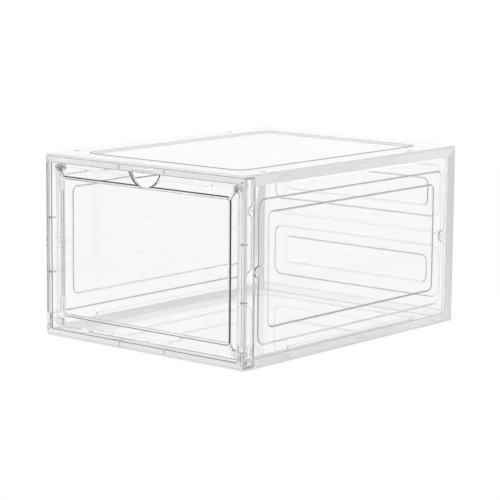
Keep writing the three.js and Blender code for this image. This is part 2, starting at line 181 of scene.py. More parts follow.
TOP = Wall((0, 0, HEIGHT), X, Y, Z)
BOTTOM = Wall((0, 0, 0), X, -Y, -Z)
RIGHT = Wall((HALF_W, 0, HALF_H), Y, Z, X)
LEFT = Wall((-HALF_W, 0, HALF_H), -Y, Z, -X)
BACK = Wall((0, HALF_D, HALF_H), -X, Z, Y)
FRONT = Wall((0, -HALF_D, HALF_H), X, Z, -Y)


def outline(us, vs, radius):
    """A rounded rectangle: the ends of u and v in any order, and the corner radius."""
    return (min(us), max(us), min(vs), max(vs), radius)


def grow(shape, by):
    u0, u1, v0, v1, radius = shape
    return (u0 - by, u1 + by, v0 - by, v1 + by, max(radius + by, 0.05))


def between(a, b, t):
    return tuple(p + (q - p) * t for p, q in zip(a, b))


def ring_points(shape, corner):
    u0, u1, v0, v1, radius = shape
    centres = ((u1, v0, -90), (u1, v1, 0), (u0, v1, 90), (u0, v0, 180))
    points = []
    for u, v, start in centres:
        cu = u - radius if u == u1 else u + radius
        cv = v - radius if v == v1 else v + radius
        for k in range(corner + 1):
            angle = math.radians(start + 90 * k / corner)
            points.append((cu + radius * math.cos(angle), cv + radius * math.sin(angle)))
    return points


def step(a, wa, b, wb, count=6):
    """Rings of a smooth moulded step from outline a at wa to outline b at wb."""
    rings = []
    for k in range(count + 1):
        t = k / count
        eased = t * t * (3 - 2 * t)
        rings.append((between(a, b, t), wa + (wb - wa) * eased))
    return rings


def rounded(shape, w, radius, side, count=4):
    """Rings of a rounded edge, from the face at w out to the outline. side is 1 where the face looks out."""
    rings = []
    for k in range(count + 1):
        angle = math.pi / 2 * k / count
        inset = radius * (1 - math.sin(angle))
        rings.append((grow(shape, -inset), w - side * radius * (1 - math.cos(angle))))
    return rings


def fillet(radius, depth):
    """How far a rounded edge stands in from its outline at a depth below the face."""
    return radius - math.sqrt(max(radius ** 2 - (radius - min(depth, radius)) ** 2, 0))


def loft(name, wall, rings, ring_shaped=False, corner=CORNER):
    """A closed mesh through rounded rectangles, capped at both ends or closed on itself."""
    bm = bmesh.new()
    loops = [[bm.verts.new(wall.point(u, v, w)) for u, v in ring_points(s, corner)] for s, w in rings]
    pairs = list(zip(loops, loops[1:]))
    if ring_shaped:
        pairs.append((loops[-1], loops[0]))
    else:
        bm.faces.new(loops[0])
        bm.faces.new(loops[-1])
    for a, b in pairs:
        for k in range(len(a)):
            j = (k + 1) % len(a)
            bm.faces.new((a[k], a[j], b[j], b[k]))
    bmesh.ops.remove_doubles(bm, verts=bm.verts, dist=2e-6)
    bmesh.ops.recalc_face_normals(bm, faces=bm.faces)
    mesh = bpy.data.meshes.new(name)
    bm.to_mesh(mesh)
    bm.free()
    piece = bpy.data.objects.new(name, mesh)
    bpy.context.scene.collection.objects.link(piece)
    return piece


def block(wall, us, vs, ws, radius=0.3, soft=0.25):
    """A box with rounded corners and its outer edges broken."""
    shape = outline(us, vs, radius)
    low, high = min(ws), max(ws)
    rings = [(grow(shape, -soft), low), (shape, low + soft), (shape, high - soft), (grow(shape, -soft), high)]
    return loft("block", wall, rings, corner=3)


def ridge(wall, start, end, width, ws):
    """A straight bar between two points of the wall."""
    along = Vector((end[0] - start[0], end[1] - start[1]))
    length = along.length
    along.normalize()
    origin = wall.origin + wall.u * start[0] + wall.v * start[1]
    u = wall.u * along.x + wall.v * along.y
    v = wall.v * along.x - wall.u * along.y
    turned = Wall(origin, u, v, wall.w)
    return block(turned, (0, length), (-width / 2, width / 2), ws, 0.1, 0.15)


def pillar(wall, radius, u, v, ws, soft=0.25, corner=12):
    """A round bar along w with its ends broken."""
    shape = outline((u - radius, u + radius), (v - radius, v + radius), radius)
    low, high = min(ws), max(ws)
    rings = [(grow(shape, -soft), low), (shape, low + soft), (shape, high - soft), (grow(shape, -soft), high)]
    return loft("pillar", wall, rings, corner=corner)


def axle(wall, radius, us, v, w, soft=0.3):
    return pillar(wall.along_u(), radius, v, w, us, soft)


def band(wall, outer, inner, low, high, outwards=True):
    """A low raised band between two outlines, drafted, with its free edges rounded."""
    draft, soft = 0.4, 0.3
    base, free = (low, high) if outwards else (high, low)
    near = free - soft if outwards else free + soft
    rings = [
        (grow(outer, draft), base),
        (outer, near),
        (grow(outer, -soft), free),
        (grow(inner, soft), free),
        (inner, near),
        (grow(inner, -draft), base),
    ]
    return loft("band", wall, rings, ring_shaped=True)


def combine(piece, tools, operation):
    """Joins the tools to the piece, or cuts it with them, and removes them."""
    for tool in tools:
        modifier = piece.modifiers.new("combine", "BOOLEAN")
        modifier.operation = operation
        modifier.solver = "EXACT"
        modifier.object = tool
    bpy.context.view_layer.update()
    evaluated = piece.evaluated_get(bpy.context.evaluated_depsgraph_get())
    made = bpy.data.meshes.new_from_object(evaluated)
    piece.modifiers.clear()
    old = piece.data
    piece.data = made
    bpy.data.meshes.remove(old)
    for tool in tools:
        mesh = tool.data
        bpy.data.objects.remove(tool)
        bpy.data.meshes.remove(mesh)
    return piece


def add(piece, *tools):
    return combine(piece, tools, "UNION")


def cut(piece, *tools):
    return combine(piece, tools, "DIFFERENCE")


SHARP_ANGLE = math.radians(32)


def finish(piece, wall, *tests):
    """Gives finish 1, 2 and so on to the faces that pass each test of place and outward tilt in turn."""
    for face in piece.data.polygons:
        seen = (*wall.local(face.center), face.normal.dot(wall.w))
        for index, test in enumerate(tests, 1):
            if test(*seen):
                face.material_index = index
    return piece


def settle(piece, name, body, node, slot, *materials):
    """Shades a finished piece and puts it in the place of its CAD node."""
    piece.name = name
    piece.data.name = name
    for material in materials:
        piece.data.materials.append(material)
    piece.data.shade_smooth()
    piece.data.set_sharp_from_angle(angle=SHARP_ANGLE)
    flats = piece.modifiers.new("flats", "WEIGHTED_NORMAL")
    flats.weight = 100
    flats.keep_sharp = True
    piece.visible_shadow = False
    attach(piece, body)
    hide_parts(node)
    return piece


# ---- the mouldings -------------------------------------------------------------------


def snap_tongues(wall, front):
    """The tongues, hooks and front tab that hold a plate to the walls. front is the sign of v at the door."""
    tongue_face = HALF_W - SKIRT - GAP
    root = -PLATE / 2
    tip = -PLATE - TONGUE_DROP
    side_end = HALF_D - SKIRT - FLANGE_DEPTH - 1
    tools = []
    for sign in (-1, 1):
        across = (sign * tongue_face, sign * (tongue_face - TONGUE))
        tools.append(block(wall, across, (-side_end, side_end), (tip, root)))
        middle = [-front * y for y in TONGUE_MIDDLE]
        tools.append(block(wall, across, middle, (tip - TONGUE_EXTRA, root)))
        for y in HOOK_AT:
            along = (-front * y - HOOK_LENGTH / 2, -front * y + HOOK_LENGTH / 2)
            out = (sign * (tongue_face - HOOK_ROOT), sign * (tongue_face + HOOK_OUT))
            low = -PLATE - GAP - HOOK_DROP
            tools.append(block(wall, out, along, (low, low + HOOK_HEIGHT)))
    rear_face = HALF_D - SKIRT - GAP
    rear = (-front * rear_face, -front * (rear_face - TONGUE))
    rear_half = HALF_W - SKIRT - 2 * GAP - 2 * TONGUE
    tools.append(block(wall, (-rear_half, rear_half), rear, (tip, root)))
    tab_face = HALF_D - TAB_BEHIND
    tab = (front * tab_face, front * (tab_face - TAB_THICKNESS))
    tools.append(block(wall, (-TAB_HALF, TAB_HALF), tab, (-PLATE - TAB_HEIGHT, root)))
    return tools


def end_plate(wall, front, has_bumps):
    """The top or bottom plate. front is the sign of v at the door."""
    floor = -RECESS_DEPTH["top" if has_bumps else "bottom"]
    recess = outline(
        (-HALF_W + RECESS_SIDE, HALF_W - RECESS_SIDE),
        (front * (HALF_D - RECESS_FRONT), -front * (HALF_D - RECESS_REAR)),
        RECESS_RADIUS,
    )
    plate = outline((-HALF_W, HALF_W), (-HALF_D, HALF_D), PLATE_CORNER)
    if not has_bumps:
        brink = step(grow(recess, -RECESS_EASE), floor, grow(recess, RECESS_EASE), 0)
    else:
        outside, inside = (grow(recess, by) for by in BEAD_TOP)
        brink = [
            *step(grow(recess, BEAD_FLOOR), floor, inside, BEAD_HEIGHT),
            (outside, BEAD_HEIGHT),
            (grow(recess, BEAD_FOOT), 0),
        ]
    rings = [
        *brink,
        *rounded(plate, 0, PLATE_ROUND, 1, 6),
        *reversed(rounded(plate, -PLATE, PLATE_UNDER_ROUND, -1)),
        *step(grow(recess, WALL + RECESS_EASE), -PLATE, grow(recess, WALL - RECESS_EASE), floor - WALL),
    ]
    tools = snap_tongues(wall, front)
    bump_v = (front * (HALF_D - BUMP_FRONT), -front * (HALF_D - BUMP_REAR))
    spots = [(sign * (HALF_W - BUMP_SIDE), v) for sign in (-1, 1) for v in bump_v]
    if has_bumps:
        tools += [pillar(wall, BUMP_RADIUS, u, v, (-PLATE / 2, BUMP_HEIGHT)) for u, v in spots]
    piece = add(loft("plate", wall, rings), *tools)
    if not has_bumps:
        radius, depth = BUMP_RADIUS + GAP, -BUMP_HEIGHT - GAP
        piece = cut(piece, *[pillar(wall, radius, u, v, (depth, 1)) for u, v in spots])
    return piece


def side_wall(wall, rear):
    """A side wall. rear is the sign of u at the back of the box."""

    def span(y0, y1):
        return (rear * y0, rear * y1)

    front_edge = -HALF_D + FRAME_DEPTH + GAP
    edge = outline(span(front_edge, HALF_D), (-BODY_HALF, BODY_HALF), 1)
    field = outline(
        span(front_edge + SIDE_LIP, HALF_D - REAR_BAND),
        (-BODY_HALF + RAIL, BODY_HALF - TOP_RAIL),
        FIELD_CORNER,
    )

    def inset(by, top, radius):
        return outline(span(-HALF_D + by, HALF_D - by), (-HALF_H + by, HALF_H - top), radius)

    def edge_at(depth):
        """The outline at a depth below the outer face, with the rear edge rounded more than the rest."""
        shape = [*grow(edge, -fillet(0.5, depth))]
        shape[1 if rear > 0 else 0] -= rear * (fillet(REAR_ROUND, depth) - fillet(0.5, depth))
        return tuple(shape), -depth

    outer = inset(OUTER_INSET, OUTER_TOP_INSET, OUTER_RADIUS)
    inner = inset(INNER_INSET, INNER_INSET, INNER_RADIUS)
    raised = FIELD + STEP
    half = STEP_EASE
    rings = [
        *step(grow(inner, -half), FIELD, grow(inner, half), raised),
        *step(grow(outer, -half), raised, grow(outer, half), FIELD),
        (field, FIELD),
        (grow(field, FIELD_DRAFT), -0.85),
        *[edge_at(depth) for depth in (0, 0.08, 0.25, 0.5, 0.9, 1.4, 2.0, REAR_ROUND)],
        *reversed(rounded(edge, -SKIRT, 0.3, -1)),
        *step(grow(outer, half - STEP), -SKIRT, grow(outer, -half - STEP), -SKIRT + STEP),
        *step(grow(inner, half + STEP), -SKIRT + STEP, grow(inner, STEP - half), -SKIRT),
    ]
    piece = loft("side", wall, rings)
    vents = (outer[0], outer[1])
    tools = [pillar(wall, VENT_RIM, u, 0, (-SKIRT, -0.1), 0.4) for u in vents]
    for sign, rail in ((1, TOP_RAIL), (-1, RAIL)):
        inside = (rear * (HALF_D - REAR_BAND), sign * (BODY_HALF - rail))
        outside = (rear * (HALF_D - REAR_ROUND), sign * (BODY_HALF - 0.6))
        tools.append(ridge(wall, inside, outside, MITRE_LINE, (-2, -0.02)))
    piece = add(piece, *tools)

    window_v = BODY_HALF - HOOK_DROP + HOOK_HEIGHT / 2
    tools = [pillar(wall, VENT_RADIUS, u, 0, (-SKIRT - 1, 1)) for u in vents]
    for sign in (-1, 1):
        for y in HOOK_AT:
            along = span(y - HOOK_LENGTH / 2 - GAP, y + HOOK_LENGTH / 2 + GAP)
            centre = sign * window_v
            up = (centre - HOOK_HEIGHT / 2 - GAP, centre + HOOK_HEIGHT / 2 + GAP)
            tools.append(block(wall, along, up, (-SKIRT - 1, 1)))
    return cut(piece, *tools)


def back_wall():
    half_u = HALF_W - SKIRT - GAP
    edge = outline((-half_u, half_u), (-BODY_HALF, BODY_HALF), 1)
    field = outline((-half_u + RAIL, half_u - RAIL), (-BODY_HALF + RAIL, BODY_HALF - RAIL), FIELD_CORNER)
    rings = [
        (field, FIELD),
        (grow(field, FIELD_DRAFT), -0.85),
        *rounded(edge, 0, 0.5, 1),
        *reversed(rounded(edge, -SKIRT, 0.3, -1)),
    ]
    piece = loft("back", BACK, rings)
    raise_tools, hollow_tools = [], []
    for sign in (-1, 1):
        tracks = []
        for inset, heights, radius in (TRACK_OUTER, TRACK_INNER):
            us = (-HALF_W + inset, HALF_W - inset)
            tracks.append(outline(us, [sign * v for v in heights], radius))
        outer, inner = tracks
        raise_tools.append(band(BACK, outer, inner, FIELD - 0.5, FIELD + STEP))
        hollow = (grow(outer, -STEP), grow(inner, STEP))
        hollow_tools.append(band(BACK, *hollow, -SKIRT - 0.5, -SKIRT + STEP))
        flange = (sign * half_u, sign * (half_u - TONGUE))
        raise_tools.append(block(BACK, flange, (-BODY_HALF, BODY_HALF), (-SKIRT - FLANGE_DEPTH, -1.2)))
    rib_half = HALF_W - TRACK_OUTER[0]
    rib = (-CENTRE_RIB / 2, CENTRE_RIB / 2)
    raise_tools.append(block(BACK, (-rib_half, rib_half), rib, (FIELD - 0.5, FIELD + STEP), 1.4, 0.35))
    return cut(add(piece, *raise_tools), *hollow_tools)


def stop_lip(sign):
    """One half of the lip behind the door's edge, wider in the middle of each side."""
    right, top = OPENING_U[1], OPENING_V[1]
    outside = sign * (right + ROOT)
    lip_w = (LIP_BACK + 0.2, LIP_FRONT)
    reach = LIP + LIP_EXTRA
    across = (sign * NOTCH_CLEAR, sign * (right + LIP_ROOT))
    middle = (sign * NOTCH_CLEAR, sign * LIP_TOP_MIDDLE)
    return [
        block(FRONT, (outside, sign * (right - LIP)), (HINGE_BLOCK_TOP + 1, top + ROOT), lip_w),
        block(FRONT, (outside, sign * (right - reach)), LIP_SIDE_MIDDLE, lip_w, 1.5),
        block(FRONT, across, (top - LIP, top + LIP_ROOT), lip_w),
        block(FRONT, middle, (top - reach, top + ROOT), lip_w, 1.5),
    ]


def hinge_block(sign):
    across = (sign * OPENING_U[1], sign * (HALF_W - WALL / 2))
    return block(FRONT, across, (OPENING_V[0] - ROOT, HINGE_BLOCK_TOP), (-FRAME_DEPTH + 1.5, -WALL / 2), 0.1)


def magnet_boss(sign):
    """The round cup for a frame magnet, and the gusset that joins it to the frame's corner."""
    low, high = LIP_FRONT - MAGNET_WALL - GAP - FRAME_MAGNET - 1, LIP_FRONT
    across = (sign * MAGNET_U, sign * (OPENING_U[1] + GUSSET_ROOT))
    up = (MAGNET_V, OPENING_V[1] + GUSSET_ROOT)
    return [
        block(FRONT, across, up, (low + 0.6, high - 0.4)),
        pillar(FRONT, BOSS_RADIUS, sign * MAGNET_U, MAGNET_V, (low, high)),
    ]


def front_frame():
    edge = outline((-HALF_W, HALF_W), (-BODY_HALF, BODY_HALF), 1.5)
    opening = outline(OPENING_U, OPENING_V, 0.8)
    sleeve = grow(opening, SLEEVE)
    inside = grow(edge, -WALL)
    rings = [
        (edge, -FRAME_DEPTH + 0.2),
        *reversed(rounded(edge, 0, 1.2, 1, 5)),
        (grow(opening, 0.5), 0),
        (grow(opening, 0.15), -0.15),
        (opening, -0.5),
        (opening, LIP_BACK),
        (sleeve, LIP_BACK),
        (sleeve, -WALL),
        (inside, -WALL),
        (inside, -POST_SHADE),
        (inside, -FRAME_DEPTH),
        (grow(edge, -0.2), -FRAME_DEPTH),
    ]
    piece = loft("frame", FRONT, rings, ring_shaped=True, corner=5)

    tools = []
    depth = (-WALL - RIB_DEPTH, -WALL / 2)
    for sign in (-1, 1):
        post = (sign * (HALF_W - BAR + ROOT), sign * (HALF_W - WALL / 2))
        for v in (-RIB_UP, RIB_UP):
            tools.append(block(FRONT, post, (v - RIB / 2, v + RIB / 2), depth, 0.1, 0.1))
    bars = ((OPENING_V[0] - ROOT, -BODY_HALF + ROOT), (OPENING_V[1] + ROOT, BODY_HALF - ROOT))
    for bar in bars:
        for u in (-RIB_ACROSS, RIB_ACROSS):
            tools.append(block(FRONT, (u - RIB / 2, u + RIB / 2), bar, depth, 0.1, 0.1))

    for sign in (-1, 1):
        tools += [*stop_lip(sign), hinge_block(sign), *magnet_boss(sign)]
    piece = add(piece, *tools)

    tools = []
    for sign in (-1, 1):
        bore = (sign * (OPENING_U[1] - 1), sign * (OPENING_U[1] + SOCKET_DEPTH))
        tools.append(axle(FRONT, SOCKET_RADIUS, bore, HINGE_V, HINGE_W))
        pocket = (-FRAME_DEPTH - 1, LIP_FRONT - MAGNET_WALL)
        tools.append(pillar(FRONT, MAGNET_RADIUS + GAP, sign * MAGNET_U, MAGNET_V, pocket))
        window_w = (-TAB_BEHIND - TAB_THICKNESS - GAP, -TAB_BEHIND + GAP)
        window_v = (sign * (BODY_HALF + 1), sign * (BODY_HALF - 3))
        tools.append(block(FRONT, (-TAB_HALF - GAP, TAB_HALF + GAP), window_v, window_w, 0.1, 0.1))
        label_v = (sign * LABEL_V[0], sign * LABEL_V[1])
        tools.append(block(FRONT, LABEL_U, label_v, (-LABEL_DEPTH, 1), 0.4, 0.1))
        bar = (OPENING_V[0 if sign < 0 else 1] + sign, sign * (BODY_HALF - 0.8))
        for u in (-RIB_ACROSS, RIB_ACROSS):
            tools.append(block(FRONT, (u - SCORE / 2, u + SCORE / 2), bar, (-SCORE_DEPTH, 1), 0.2, 0.1))
    return cut(piece, *tools)


def front_door():
    edge = outline((-DOOR_HALF, DOOR_HALF), DOOR_V, 1.5)
    field_half = HALF_W - FIELD_INSET
    field = outline((-field_half, field_half), (-FIELD_HALF_HEIGHT, FIELD_HALF_HEIGHT), FIELD_RADIUS)
    slope_top = RIM_FRONT + SLOPE_RISE
    foot = grow(field, SLOPE_WIDTH)[:4] + (1.2,)
    back_foot = grow(field, SLOPE_WIDTH - 0.8)[:4] + (1.2,)
    rings = [
        *rounded(field, DOOR_FACE, 0.6, 1, 5),
        (grow(field, 0.15), slope_top - GROOVE_DEPTH),
        (grow(field, GROOVE_WIDTH), slope_top - GROOVE_DEPTH),
        (grow(field, GROOVE_WIDTH + 0.15), slope_top),
        (foot, RIM_FRONT),
        *rounded(edge, RIM_FRONT, 0.5, 1),
        *reversed(rounded(edge, RIM_BACK, 0.5, -1)),
        (back_foot, RIM_BACK),
        (grow(field, -0.8), slope_top - WALL),
        (grow(field, -1.7), slope_top - WALL + 0.15),
        *reversed(rounded(grow(field, -WALL), DOOR_FACE - WALL, 0.5, 1)),
    ]
    piece = loft("door", FRONT, rings)

    notch_edge = pillar(FRONT, NOTCH_RADIUS + NOTCH_LIP, 0, NOTCH_V, (RIM_BACK, slope_top), 0.3, 32)
    above = block(FRONT, (-60, 60), (DOOR_V[1], DOOR_V[1] + 60), (-FAR, FAR))
    notch_edge = cut(notch_edge, above)
    tools = [notch_edge]
    for sign in (-1, 1):
        barrel = (sign * (DOOR_HALF - BARREL_LENGTH), sign * DOOR_HALF)
        tools.append(axle(FRONT, BARREL_RADIUS, barrel, HINGE_V, HINGE_W))
        peg = (sign * (DOOR_HALF - 1), sign * (DOOR_HALF + PEG_LENGTH))
        tools.append(axle(FRONT, PEG_RADIUS, peg, HINGE_V, HINGE_W))
        boss_w = (RIM_BACK, RIM_BACK + GAP + DOOR_MAGNET + MAGNET_WALL)
        tools.append(pillar(FRONT, BOSS_RADIUS, sign * MAGNET_U, MAGNET_V, boss_w))
        for up in (-1, 1):
            corner = (sign * (field_half - 1), up * (FIELD_HALF_HEIGHT - 1))
            tools.append(ridge(FRONT, corner, (sign * MAGNET_U, up * MAGNET_V), MITRE_RIB, MITRE_W))
    piece = add(piece, *tools)

    tools = [pillar(FRONT, NOTCH_RADIUS, 0, NOTCH_V, (-20, 5), 0.3, 32)]
    for ends in ((-20, RIM_BACK + NOTCH_STEP), (slope_top - NOTCH_STEP, 5)):
        tools.append(pillar(FRONT, NOTCH_RADIUS + NOTCH_STEP, 0, NOTCH_V, ends, 0.05, 32))
    for sign in (-1, 1):
        cup = (RIM_BACK - 1, RIM_BACK + GAP + DOOR_MAGNET)
        tools.append(pillar(FRONT, MAGNET_RADIUS + GAP, sign * MAGNET_U, MAGNET_V, cup))
    return cut(piece, *tools)


# ---- materials -------------------------------------------------------------------------


class Shader:
    """A material's nodes, with the few that these finishes need."""

    def __init__(self, name):
        self.material = bpy.data.materials.new(name)
        self.material.use_nodes = True
        self.tree = self.material.node_tree
        self.shader = self.tree.nodes["Principled BSDF"]
        self.place = self.tree.nodes.new("ShaderNodeTexCoord").outputs["Object"]

    def link(self, source, target):
        self.tree.links.new(source, target)

    def noise(self, scale, detail=3):
        node = self.tree.nodes.new("ShaderNodeTexNoise")
        node.inputs["Scale"].default_value = scale
        node.inputs["Detail"].default_value = detail
        self.link(self.place, node.inputs["Vector"])
        return node.outputs["Fac"]

    def to_range(self, value, source, target):
        node = self.tree.nodes.new("ShaderNodeMapRange")
        self.link(value, node.inputs["Value"])
        for key, number in zip(("From Min", "From Max", "To Min", "To Max"), (*source, *target)):
            node.inputs[key].default_value = number
        return node.outputs["Result"]

    def math(self, operation, *values):
        node = self.tree.nodes.new("ShaderNodeMath")
        node.operation = operation
        for socket, value in zip(node.inputs, values):
            if isinstance(value, (int, float)):
                socket.default_value = value
            else:
                self.link(value, socket)
        return node.outputs[0]

    def tint(self, value, low, high):
        """A colour between two, by value."""
        node = self.tree.nodes.new("ShaderNodeMix")
        node.data_type = "RGBA"
        self.link(value, node.inputs["Factor"])
        node.inputs["A"].default_value = (*low, 1)
        node.inputs["B"].default_value = (*high, 1)
        return node.outputs["Result"]

    def bump(self, height, strength, distance):
        node = self.tree.nodes.new("ShaderNodeBump")
        node.inputs["Strength"].default_value = strength
        node.inputs["Distance"].default_value = distance
        self.link(height, node.inputs["Height"])
        self.link(node.outputs["Normal"], self.shader.inputs["Normal"])


ABSORPTION = 6                                  # per metre, so a wall is clear and a long edge is grey


def clear_plastic(name, transmission, roughness, tints, bump):
    """Moulded polystyrene: roughness is its range, tints the colours that it drifts between."""
    s = Shader(name)
    s.shader.inputs["IOR"].default_value = 1.57
    s.shader.inputs["Transmission Weight"].default_value = transmission
    flow = s.noise(22, 4)
    grain = s.noise(900, 2)
    rubbed = s.math("ADD", s.math("MULTIPLY", flow, 0.7), s.math("MULTIPLY", grain, 0.3))
    s.link(s.to_range(rubbed, (0.35, 0.65), roughness), s.shader.inputs["Roughness"])
    s.link(s.tint(s.noise(35), *tints), s.shader.inputs["Base Color"])
    s.bump(s.math("ADD", flow, s.math("MULTIPLY", grain, 0.04)), *bump)
    absorb = s.tree.nodes.new("ShaderNodeVolumeAbsorption")
    absorb.inputs["Color"].default_value = (0.0, 0.02, 0.04, 1)
    absorb.inputs["Density"].default_value = ABSORPTION
    output = next(n for n in s.tree.nodes if n.type == "OUTPUT_MATERIAL")
    s.link(absorb.outputs["Volume"], output.inputs["Volume"])
    return s.material


def nickel(name, tints):
    """Plated magnets, a little scuffed."""
    s = Shader(name)
    s.shader.inputs["Metallic"].default_value = 1
    scuffs = s.noise(700, 5)
    s.link(s.to_range(scuffs, (0.35, 0.7), (0.22, 0.5)), s.shader.inputs["Roughness"])
    s.link(s.tint(s.noise(300), *tints), s.shader.inputs["Base Color"])
    s.bump(scuffs, 0.3, 0.0002)
    return s.material


# Ranges of roughness and bumps, as strength and distance
SMOOTH, SATIN, GRAINED, ROUGH = (0.0, 0.03), (0.03, 0.06), (0.14, 0.24), (0.2, 0.3)
FAINT, LIGHT, SLIGHT, GRAIN = (0.02, 0.0002), (0.05, 0.0002), (0.1, 0.0002), (0.3, 0.0003)

polished = clear_plastic("polished", 0.97, SMOOTH, ((0.945, 0.945, 0.95), (0.965, 0.965, 0.97)), LIGHT)
hazed = clear_plastic("hazed", 0.8, SATIN, ((0.98, 0.98, 0.98), (1, 1, 1)), FAINT)
hazed.node_tree.nodes["Principled BSDF"].inputs["Coat Weight"].default_value = 1
milky = clear_plastic("milky", 0.22, GRAINED, ((0.92, 0.92, 0.92), (0.97, 0.97, 0.97)), GRAIN)
# grained grey coat: the plastic's own frosting on the rails and plate edges, and painted shade on the posts'
# inner faces and on the steps round the plates' recesses
frost_and_painted_shade = clear_plastic("frost_and_painted_shade", 0.35, GRAINED, ((0.83, 0.83, 0.835), (0.89, 0.89, 0.89)), GRAIN)
shaded = clear_plastic("shaded", 0.5, GRAINED, ((0.5, 0.5, 0.505), (0.58, 0.58, 0.585)), SLIGHT)
# painted shade: a dark coat on the bead round the top plate's recess, for the line seen along it
painted_bead_shade = clear_plastic("painted_bead_shade", 0.4, ROUGH, ((0.2, 0.2, 0.205), (0.27, 0.27, 0.275)), SLIGHT)
# painted shade: a near-black coat on the faces of grooves, ribs, scored lines, vent rims, the opening's brink
# and the notch step, standing for the dark lines that refraction draws along those edges
painted_edge_shade = clear_plastic("painted_edge_shade", 0.4, ROUGH, ((0.03, 0.03, 0.035), (0.08, 0.08, 0.085)), SLIGHT)
plated = nickel("plated", ((0.3, 0.3, 0.31), (0.5, 0.5, 0.52)))
# a near-black nickel on the discs' round sides, so that each disc shows a dark rim
dark_rim_nickel = nickel("dark_rim_nickel", ((0.02, 0.02, 0.02), (0.12, 0.12, 0.13)))

EDGE_BAND = 1.4                                 # what counts as a plate's edge
RECESS_REACH = HALF_W - RECESS_SIDE + 5         # a recess and its step lie inside this
FLAT, SLOPED, UPRIGHT, SQUARE = 0.985, 0.9, 0.3, 0.1        # tilts, from level to straight up


# Where each finish goes, by place and by tilt: 1 faces out of the wall, 0 along it


def on_plate_edge(u, v, w, tilt):
    outer = abs(u) > HALF_W - EDGE_BAND or abs(v) > HALF_D - EDGE_BAND
    hook = abs(u) > HALF_W - SKIRT and w < -PLATE - 1
    return abs(tilt) < SLOPED and (outer or hook)


def on_front_edge(front):
    def test(u, v, w, tilt):
        return abs(tilt) < SLOPED and front * v > HALF_D - EDGE_BAND and w > -PLATE

    return test


def on_tongue_tip(u, v, w, tilt):
    return tilt < -0.5 and w < -PLATE - TONGUE_DROP + 0.5


def on_inner_step(u, v, w, tilt):
    return -FLAT < tilt < -SQUARE and w < -PLATE - 0.02 and abs(u) < RECESS_REACH


def on_bead(u, v, w, tilt):
    return 0.1 < w < BEAD_HEIGHT + 0.05 and abs(u) < RECESS_REACH


def on_recess_step(u, v, w, tilt):
    return SQUARE < tilt < FLAT and w > -RECESS_DEPTH["bottom"] and abs(u) < RECESS_REACH


def on_side_rail(rear):
    def test(u, v, w, tilt):
        outside = v > BODY_HALF - TOP_RAIL or v < RAIL - BODY_HALF or rear * u > HALF_D - REAR_BAND
        return tilt > UPRIGHT and w > -1 and outside

    return test


def on_window(u, v, w, tilt):
    hole = math.hypot(abs(u) - HALF_D + OUTER_INSET, v) < VENT_RADIUS + 0.5
    window = BODY_HALF - TOP_RAIL < abs(v) < BODY_HALF - 0.5
    return abs(tilt) < UPRIGHT and -SKIRT < w < -0.1 and (hole or window)


def on_side_step(u, v, w, tilt):
    stepped = abs(u) < HALF_D - OUTER_INSET + 2 and abs(v) < HALF_H - OUTER_INSET + 2
    return stepped and SQUARE < tilt < 0.87


def on_vent_rim(u, v, w, tilt):
    rim = VENT_RIM - 0.6 < math.hypot(abs(u) - HALF_D + OUTER_INSET, v) < VENT_RIM + 0.3
    return rim and abs(tilt) < SLOPED and w > -SKIRT + 0.5


def on_track_step(u, v, w, tilt):
    return 0 < tilt < 0.87 and w > -SKIRT / 2 and abs(u) < HALF_W - TRACK_OUTER[0] + 1


def on_bar(u, v, w, tilt):
    deepest = -0.1 if v > 0 else -LABEL_DEPTH - 0.05
    return tilt > 0.5 and w > deepest and not OPENING_V[0] < v < OPENING_V[1]


def on_rib(u, v, w, tilt):
    across = abs(abs(u) - RIB_ACROSS) < RIB and not OPENING_V[0] < v < OPENING_V[1]
    up = abs(abs(v) - RIB_UP) < RIB and abs(u) > OPENING_U[1]
    scored = across and -SCORE_DEPTH - 0.05 < w < -0.01
    inside = abs(u) < OPENING_U[1] + 0.5 and OPENING_V[0] - 0.5 < v < OPENING_V[1] + 0.5
    brink = inside and -0.5 < w < -0.03
    return scored or brink or ((across or up) and -WALL - RIB_DEPTH - 0.1 < w < -WALL)


def on_post(u, v, w, tilt):
    return abs(abs(u) - HALF_W + WALL) < 0.1 and abs(tilt) < SQUARE and -POST_SHADE < w < -WALL


def on_lip_edge(u, v, w, tilt):
    lip = LIP_BACK - 0.1 < w < LIP_FRONT + 0.1 and abs(u) < OPENING_U[1]
    return abs(tilt) < 0.5 and lip


def from_field(u, v):
    """How far a point lies outside the door's field, across and up."""
    return abs(u) - (HALF_W - FIELD_INSET), abs(v) - FIELD_HALF_HEIGHT


def on_door_outline(u, v, w, tilt):
    across, up = from_field(u, v)
    beyond = math.hypot(max(across + FIELD_RADIUS, 0), max(up + FIELD_RADIUS, 0)) - FIELD_RADIUS
    mitre = abs(across - up) < MITRE_RIB / 2 + 0.2 and min(across, up) > -2
    groove = RIM_FRONT + 1 < w < DOOR_FACE - 0.35 and -1.5 < beyond < GROOVE_WIDTH + 0.1
    return tilt > -0.5 and groove and not mitre


def on_mitre_side(u, v, w, tilt):
    across, up = from_field(u, v)
    beside = abs(across - up) < 3 and 0 < min(across, up) < 9
    return abs(tilt) < UPRIGHT and beside and v > 0 and w > RIM_BACK + 1


def on_door_detail(u, v, w, tilt):
    across, up = from_field(u, v)
    corner = min(across, up) > 0 and max(across, up) < 11 and w > RIM_BACK + 0.3
    return abs(tilt) < 0.6 and corner


def on_notch_step(u, v, w, tilt):
    reach = math.hypot(u, v - NOTCH_V)
    return NOTCH_RADIUS + 0.05 < reach < NOTCH_RADIUS + NOTCH_STEP + 0.1 and w < RIM_FRONT + SLOPE_RISE + 0.1


def on_disc_side(u, v, w, tilt):
    return abs(tilt) < SLOPED


def plate(wall, front, has_bumps):
    piece = end_plate(wall, front, has_bumps)
    tests = (on_plate_edge, on_recess_step, on_bead, on_front_edge(front), on_tongue_tip, on_inner_step)
    return finish(piece, wall, *tests)


